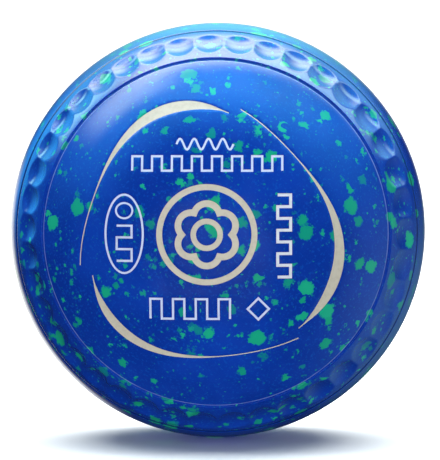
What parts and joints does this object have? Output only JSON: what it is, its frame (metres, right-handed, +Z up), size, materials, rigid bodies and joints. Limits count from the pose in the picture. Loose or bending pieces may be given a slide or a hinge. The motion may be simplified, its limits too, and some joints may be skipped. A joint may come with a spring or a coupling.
{
  "type": "lawn bowl",
  "caption": "Biased lawn bowl with a speckled glossy skin over a dark core, finger dimples round both ends, a turned groove and scribed line, and paint-filled engraved marks.",
  "frame": {"origin": "centre of the bowl's bounding box, on its axis of turning", "axes": "+Y along the axis of turning, from the bias side (small emblem ring) to the outer side; +Z up, towards the top of the marks, with the bowl standing on its running surface; +X to the right of someone who faces the bias side"},
  "size_m": [0.1222, 0.107, 0.1222],
  "materials": {
    "speckled_skin": "polished royal blue melamine with teal-green speckle",
    "core_phenolic": "pressed dark phenolic",
    "cream_paint": "hardened cream enamel, slightly uneven",
    "lilac_paint": "hardened pale silver-lilac enamel",
    "white_paint": "hardened white enamel"
  },
  "bodies": {
    "root": {"bias_crescent_lower": "cream_paint", "bias_crescent_right": "cream_paint", "bias_crescent_upper": "cream_paint", "bias_emblem_centre": "cream_paint", "bias_emblem_flower": "cream_paint", "bias_emblem_ring": "cream_paint", "bias_fine_line": "lilac_paint", "bias_number_column": "white_paint", "bias_side_shell": "speckled_skin", "bias_size_mark": "lilac_paint", "bias_size_row": "lilac_paint", "bias_stamp_frame": "lilac_paint", "bias_stamp_line": "lilac_paint", "bias_stamp_ring": "lilac_paint", "bias_upper_row": "lilac_paint", "core": "core_phenolic", "outer_crescent_lower": "cream_paint", "outer_crescent_right": "cream_paint", "outer_crescent_upper": "cream_paint", "outer_emblem_centre": "cream_paint", "outer_emblem_flower": "cream_paint", "outer_emblem_ring": "cream_paint", "outer_side_shell": "speckled_skin", "outer_size_mark": "lilac_paint", "outer_size_row": "lilac_paint", "outer_upper_row": "lilac_paint"}
  },
  "joints": []
}
